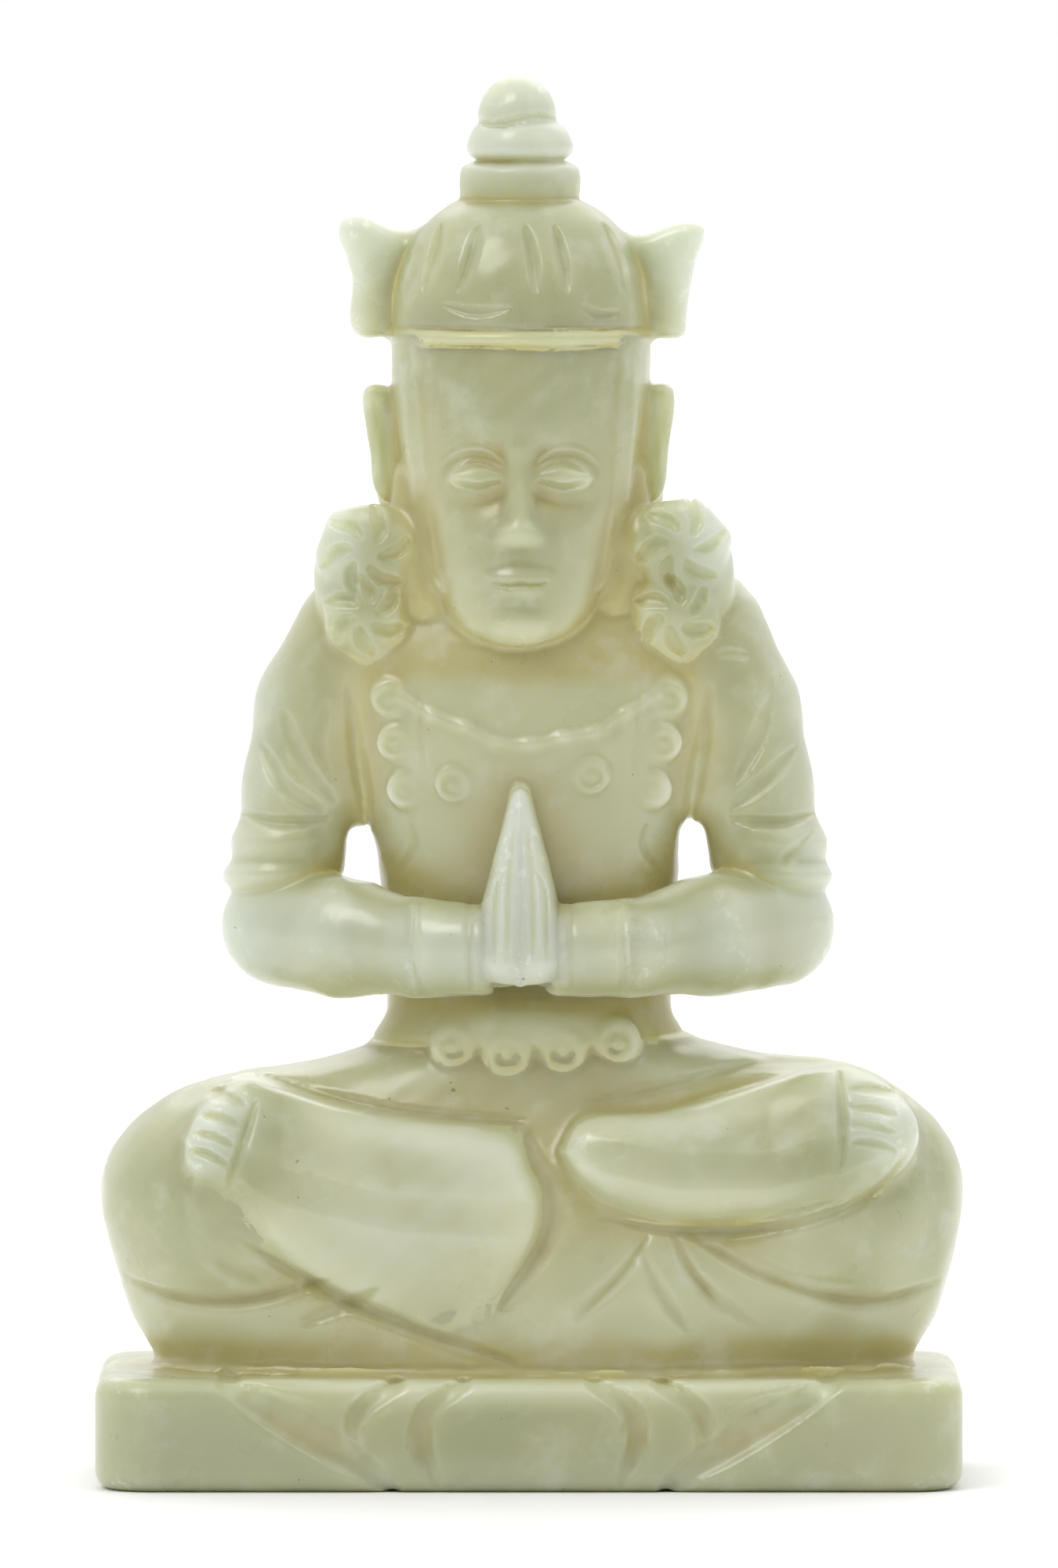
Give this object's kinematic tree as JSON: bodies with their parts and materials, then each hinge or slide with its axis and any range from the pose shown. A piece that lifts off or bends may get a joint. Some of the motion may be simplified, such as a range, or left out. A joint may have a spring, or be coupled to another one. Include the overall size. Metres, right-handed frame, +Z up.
{
  "type": "jade figurine",
  "caption": "Small seated figure in pale carved jade, cross-legged with palms pressed together, on a rectangular slab.",
  "frame": {"origin": "middle of the slab's underside, where the figurine rests", "axes": "+Z up the figure's height, -Y the way the figure faces, +X towards the figure's left hand"},
  "size_m": [0.04, 0.018, 0.065],
  "materials": {
    "jade": "polished"
  },
  "bodies": {
    "root": {"chest_rosettes": "jade", "crown_band": "jade", "crown_dome": "jade", "head": "jade", "lap": "jade", "left_bead_string": "jade", "left_crown_wing": "jade", "left_ear": "jade", "left_earring": "jade", "left_foot": "jade", "left_forearm": "jade", "left_hand": "jade", "left_knee": "jade", "left_shin": "jade", "left_sleeve_fold": "jade", "left_upper_arm": "jade", "left_wrist_cuff": "jade", "neck": "jade", "necklace": "jade", "plinth": "jade", "right_bead_string": "jade", "right_crown_wing": "jade", "right_ear": "jade", "right_earring": "jade", "right_foot": "jade", "right_forearm": "jade", "right_hand": "jade", "right_knee": "jade", "right_shin": "jade", "right_sleeve_fold": "jade", "right_upper_arm": "jade", "right_wrist_cuff": "jade", "sash_pendants": "jade", "topknot_bud": "jade", "topknot_lower": "jade", "topknot_middle": "jade", "torso": "jade", "waist_sash": "jade"}
  },
  "joints": []
}
